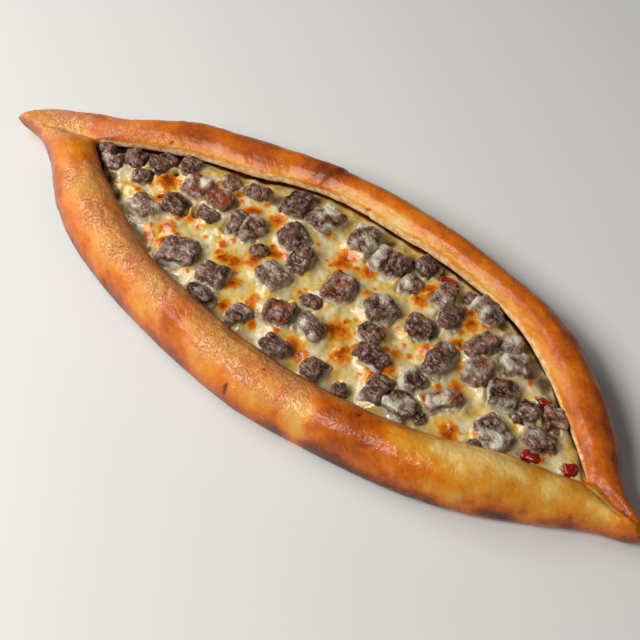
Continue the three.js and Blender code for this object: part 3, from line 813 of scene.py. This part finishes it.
# How high the cheese climbs on the meat, how many times the climb is spread outward, how far
# the tops stand out of it, and which tops are too low to show.
CLIMB_MIDDLE, CLIMB_SWING, CLIMB_WIDE = 2.4, 1.6, 6.5
CLIMB_SPREAD = 36
STANDS_OUT = 1.2
HIDDEN_TOP = 8
SPOT_RAISED, SAUCE_DEEP, HOLE_DEEP = 0.3, 0.8, 2.5
# The rays that find the tops of the filling start this many metres above the floor.
RAY_START = 0.04

# Browned spots in the plan: along, across and radius. Their brown spreads this much further.
SPOT_SPREAD = 1.4
SPOTS = [
    (-79, 2, 4.2), (-74, -6, 3.2), (-55, -6, 3.0), (-61, -17, 3.2), (-56, -24, 2.4),
    (-63, -25, 2.6), (-28, 15, 3.0), (-39, 13, 3.2), (-26, -12, 3.4), (-30, -14, 2.6),
    (-17, 1, 2.6), (-22, -6, 3.2), (-19, -21, 3.0), (-7, -24, 3.2), (-14, -31, 2.6), (7, 17, 4.0),
    (18, 19, 3.0), (28, -13, 5.0), (38, -20, 3.6), (52, -17, 5.0), (52, -6, 2.6), (80, -4, 2.6),
    (88, -21, 3.6), (60, 3, 2.8), (63, 28, 2.8), (66, 24, 2.6), (43, 20, 2.8), (43, 27, 2.6),
    (70, 28, 2.0), (67, 13, 2.4), (72, 13, 2.2), (20, -29, 3.4), (24, -31, 2.8), (37, -29, 2.4),
]
# Dark red sauce at the foot of the far fold, mixed with painted shade there, and painted shade of
# the same red along the near lip and in the left corner: along, across and radius.
SAUCE_AND_SHADE = [
    (15, 38, 4), (-36, 26, 5), (96, 19, 4), (103, 20, 4), (-108, 4, 6), (-95, 9, 6), (-25, 36, 4),
    (40, 39, 4), (110, 9, 3), (75, 33, 3), (118, 4, 3), (-60, 24, 3), (-116, -3, 6), (-103, 7, 6),
    (-86, 14, 4), (-112, -8, 5), (-101, -12, 4), (-91, -17, 3), (-121, -3, 6), (-110, -2, 7),
    (-103, -1, 5), (-97, 4, 5), (-88, 8, 4),
]
# Little holes where steam came up through the cheese, dark with painted shade: along, across and
# radius.
HOLES = [(102, -12, 1.5), (35, 6, 1.3), (-75, -6, 1.6), (-80, 8, 1.4), (-57, 8, 1.2)]
# Small browned freckles between the spots. The place along, the share of the way across and the
# radius of each are drawn at random between these two.
FRECKLES = 190
FRECKLE_FROM = (-98, 0.1, 0.9)
FRECKLE_TO = (122, 0.9, 2.5)
FRECKLE_BROWN, FRECKLE_BY_SIZE = 0.45, 0.17
draw = np.random.default_rng(23)

# The sheet is a net of points seen from above, with a height for each.
along = np.arange(OPENING[0] + CHEESE_END_GAP, OPENING[1] - CHEESE_END_GAP, CHEESE_CELL)
rows = len(along)
near_side, far_side = near_lip(along), far_lip(along)
open_share = ease(far_side - near_side, 0, 30)
from_y = near_side + CHEESE_UNDER * (near_edge(along) - near_side) * open_share
to_y = far_side + CHEESE_UNDER * (far_edge(along) - far_side) * open_share
grid_y = from_y[:, None] + (to_y - from_y)[:, None] * np.linspace(0, 1, CHEESE_ACROSS)
grid_x = np.repeat(along[:, None], CHEESE_ACROSS, 1)
flat = np.stack([grid_x.ravel(), grid_y.ravel(), np.zeros(grid_x.size)], 1)


def on_grid(values):
    """Lays one number a point out over the net."""
    return np.asarray(values).reshape(rows, CHEESE_ACROSS)


def soften(field, times):
    """Spreads a field over its neighbours, a little each time."""
    for _ in range(times):
        field = field.copy()
        field[1:-1] = (field[:-2] + 2 * field[1:-1] + field[2:]) / 4
        field[:, 1:-1] = (field[:, :-2] + 2 * field[:, 1:-1] + field[:, 2:]) / 4
    return field


def from_spot(spot_x, spot_y):
    """How far each point of the net is from that place."""
    return np.hypot(grid_x - spot_x, grid_y - spot_y)


from_middle = np.abs(2 * grid_y - (near_side + far_side)[:, None])
from_middle /= np.maximum(far_side - near_side, 2)[:, None]
inward = ease(np.minimum(grid_x - OPENING[0], OPENING[1] - grid_x), 0, 24)
crown = inward * fade(from_middle, 0.55, 1.05)
wave = (np.sin(grid_x / WAVE_ALONG + 1.5 * np.sin(grid_y / 9))
    * np.cos(grid_y / WAVE_ACROSS + grid_x / 19))
level = CHEESE_EDGE_HEIGHT + (CHEESE_HEIGHT - CHEESE_EDGE_HEIGHT) * crown + WAVE_HIGH * wave
level += on_grid(CLOT_HIGH * cloud(flat, CLOT_WIDE, 20) + SHRED_HIGH * cloud(flat, SHRED_WIDE, 21))

# It climbs on each piece of the filling and stays under its top.
filling_top = np.zeros(grid_x.shape)
for target, (low, high) in filling:
    near_piece = ((grid_x > low.x / MM - 1) & (grid_x < high.x / MM + 1)
        & (grid_y > low.y / MM - PLAN_SHIFT - 1) & (grid_y < high.y / MM - PLAN_SHIFT + 1))
    for i, j in np.argwhere(near_piece):
        start = Vector((grid_x[i, j] * MM, (grid_y[i, j] + PLAN_SHIFT) * MM, RAY_START))
        hit = target.ray_cast(start, Vector((0, 0, -1)))[0]
        if hit is not None:
            filling_top[i, j] = max(filling_top[i, j], hit.z / MM)
covered = filling_top > HIDDEN_TOP
wet = soften(covered.astype(float), CLIMB_SPREAD)
climb = on_grid(CLIMB_MIDDLE + CLIMB_SWING * cloud(flat, CLIMB_WIDE, 22))
level += np.clip(climb, 0.5, 4.0) * np.clip(1.6 * wet, 0, 1) ** 1.5
level = soften(np.where(covered, np.minimum(level, filling_top - STANDS_OUT), level), 2)

# The spots and the sauce with its painted shade have ragged edges. Smaller freckles are fainter.
ragged = on_grid(0.4 * cloud(flat, 5.0, 24) + 0.1 * cloud(flat, 2.2, 25))
spot, sauce_and_shade, hole = (np.zeros(grid_x.shape) for _ in range(3))
for spot_x, spot_y, radius in SPOTS:
    distance = from_spot(spot_x, spot_y) / (SPOT_SPREAD * radius) + ragged
    spot = np.maximum(spot, fade(distance, 0.0, 1.5))
for spot_x, way_across, radius in draw.uniform(FRECKLE_FROM, FRECKLE_TO, (FRECKLES, 3)):
    spot_y = near_lip(spot_x) + way_across * (far_lip(spot_x) - near_lip(spot_x))
    distance = from_spot(spot_x, spot_y) / radius + 0.6 * ragged
    brownness = FRECKLE_BROWN + FRECKLE_BY_SIZE * radius
    spot = np.maximum(spot, brownness * fade(distance, 0.2, 1.25))
for spot_x, spot_y, radius in SAUCE_AND_SHADE:
    distance = from_spot(spot_x, spot_y) / radius + 0.7 * ragged
    sauce_and_shade = np.maximum(sauce_and_shade, 0.9 * fade(distance, 0.2, 1.2))
for spot_x, spot_y, radius in HOLES:
    hole = np.maximum(hole, fade(from_spot(spot_x, spot_y) / radius, 0.4, 1.2))
# Painted shade, dark red like the sauce, along the foot of the far lip.
sauce_and_shade = np.maximum(sauce_and_shade, ease(grid_y - far_side[:, None], -0.5, 1.5))
level += SPOT_RAISED * ease(spot, 0.2, 0.7) - SAUCE_DEEP * sauce_and_shade - HOLE_DEEP * hole
oily = on_grid(cloud(flat, 9, 27)) * 0.5 + 0.5

# The net is the top. Two rows of points at the foot of its long sides close it to a solid.
top_points = np.stack([grid_x.ravel(), grid_y.ravel(), level.ravel()], 1)
near_foot = np.stack([along, from_y, np.full(rows, CHEESE_BOTTOM)], 1)
far_foot = np.stack([along, to_y, np.full(rows, CHEESE_BOTTOM)], 1)
near_foot_at = len(top_points)
far_foot_at = near_foot_at + rows
faces = []
for i in range(rows - 1):
    a, b = i * CHEESE_ACROSS, (i + 1) * CHEESE_ACROSS
    faces += [(a + j, b + j, b + j + 1, a + j + 1) for j in range(CHEESE_ACROSS - 1)]
    near, far = near_foot_at + i, far_foot_at + i
    faces.append((near, near + 1, b, a))
    faces.append((a + CHEESE_ACROSS - 1, b + CHEESE_ACROSS - 1, far + 1, far))
    faces.append((far, far + 1, near + 1, near))
faces.append([near_foot_at, *range(CHEESE_ACROSS), far_foot_at])
last_row = range(near_foot_at - 1, near_foot_at - CHEESE_ACROSS - 1, -1)
faces.append([far_foot_at + rows - 1, *last_row, far_foot_at - 1])
cheese_points = np.concatenate([top_points, near_foot, far_foot])
cheese_mesh = bpy.data.meshes.new("melted_cheese")
cheese_mesh.from_pydata(np.zeros(cheese_points.shape).tolist(), [], faces)
move_points(cheese_mesh, cheese_points)
shade_smooth(cheese_mesh)
cheese_marks = {
    "brown": spot, "sauce_and_shade": sauce_and_shade, "hole": hole, "oil": oily, "rim": ease(wet, 0.2, 0.6)}
for name, field in cheese_marks.items():
    paint(cheese_mesh, name, np.concatenate([field.ravel(), np.zeros(2 * rows)]))
cheese = link("melted_cheese", cheese_mesh)

# Melted cheese: soft fat and milk solids that flowed and set, so it is wet and shiny, and light
# goes into it and softens its shadows. It is greyer and darker by the meat, where it is thin and
# gets painted shade, yellower where oil came out, and orange to brown in the spots. Under the far
# fold and in the left corner it is dark red with sauce and painted shade, and the holes are nearly
# black with painted shade. The dimples are 3 mm wide and the curds 1.5 mm.
CHEESE_TONES = [(0.34, "#c2963e"), (0.44, "#d0b46a"), (0.53, "#d2c49a"), (0.66, "#dcd7c4")]
BROWN_TONES = [
    (0.1, "#dba83c"), (0.4, "#da8e1c"), (0.65, "#d2760e"), (0.85, "#be5c08"), (1.0, "#983c04")]
OIL, THIN_SHADED_CHEESE, SAUCE_AND_SHADE_RED, HOLE_SHADE = "#e2bc48", "#a89670", "#54140a", "#241004"
BLOTCH_WIDE, CURD_WIDE, DIMPLE_WIDE = 6, 1.5, 3.2
DIMPLE_DEEP, CURD_DEEP = 1.3, 0.4
# The most that oil and the thin cheese with its painted shade change the colour, and how ragged
# the edge of the brown is.
OIL_MOST, THIN_SHADE_MOST, SPOT_RAGGED = 0.45, 0.7, 0.16

cheese_melt, tree = new_material("melted_cheese")
place = add(tree, "TexCoord").outputs["Object"]
brown, sauce_and_shade_here, holed, oil, rim = (
    add(tree, "Attribute", attribute_name=name).outputs["Fac"]
    for name in ("brown", "sauce_and_shade", "hole", "oil", "rim"))
blotch = add(tree, "TexNoise", {
    "Vector": place, "Scale": 1 / (BLOTCH_WIDE * MM), "Detail": 4.0, "Roughness": 0.6})
curd = add(tree, "TexNoise", {
    "Vector": place, "Scale": 1 / (CURD_WIDE * MM), "Detail": 2.0, "Roughness": 0.5})
pale = add(tree, "ValToRGB", {"Fac": blotch.outputs["Fac"]}, stops=CHEESE_TONES)
oil_share = add(tree, "Math", {0: oil, 1: OIL_MOST}, operation="MULTIPLY")
oiled = add(tree, "Mix", {
    SHARE: oil_share.outputs[0], UNDER: pale.outputs[0], OVER: colour(OIL)}, data_type="RGBA")
# Painted shade: the thin cheese by the meat turns greyer and darker.
rim_share = add(tree, "Math", {0: rim, 1: THIN_SHADE_MOST}, operation="MULTIPLY")
thin_and_shaded = add(tree, "Mix", {
    SHARE: rim_share.outputs[0], UNDER: oiled.outputs[MIXED], OVER: colour(THIN_SHADED_CHEESE)},
    data_type="RGBA")
spot_edge = add(tree, "MapRange", {
    "Value": curd.outputs["Fac"], **NOISE_SPAN, "To Min": -SPOT_RAGGED, "To Max": SPOT_RAGGED})
brown_sum = add(tree, "Math", {0: brown, 1: spot_edge.outputs[0]}, operation="ADD")
brown_share = add(tree, "ValToRGB", {"Fac": brown_sum.outputs[0]}, stops=[(0.0, 0.0), (0.55, 1.0)])
brown_tones = add(tree, "ValToRGB", {"Fac": brown_sum.outputs[0]}, stops=BROWN_TONES)
toasted_cheese = add(tree, "Mix", {
    SHARE: brown_share.outputs[0], UNDER: thin_and_shaded.outputs[MIXED], OVER: brown_tones.outputs[0]},
    data_type="RGBA")
# Sauce, and painted shade of the same dark red.
sauced_and_shaded = add(tree, "Mix", {
    SHARE: sauce_and_shade_here, UNDER: toasted_cheese.outputs[MIXED], OVER: colour(SAUCE_AND_SHADE_RED)},
    data_type="RGBA")
# Painted shade in the steam holes.
hole_shaded = add(tree, "Mix", {
    SHARE: holed, UNDER: sauced_and_shaded.outputs[MIXED], OVER: colour(HOLE_SHADE)}, data_type="RGBA")
dimple = add(tree, "TexNoise", {
    "Vector": place, "Scale": 1 / (DIMPLE_WIDE * MM), "Detail": 1.0})
dimple_bump = add(tree, "Bump", {
    "Height": dimple.outputs["Fac"], "Strength": 0.6, "Distance": DIMPLE_DEEP * MM})
curd_bump = add(tree, "Bump", {
    "Height": curd.outputs["Fac"], "Strength": 0.4, "Distance": CURD_DEEP * MM,
    "Normal": dimple_bump.outputs[0]})
body = add(tree, "BsdfPrincipled", {
    "Base Color": hole_shaded.outputs[MIXED], "Roughness": 0.2, "IOR": 1.45,
    "Normal": curd_bump.outputs[0],
    "Subsurface Weight": 0.25, "Subsurface Radius": (1.0, 0.8, 0.4), "Subsurface Scale": 2.0 * MM,
    "Coat Weight": 0.5, "Coat Roughness": 0.1})
add(tree, "OutputMaterial", {"Surface": body.outputs[0]})
cheese_mesh.materials.append(cheese_melt)
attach(cheese, "root")
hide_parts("cheese")
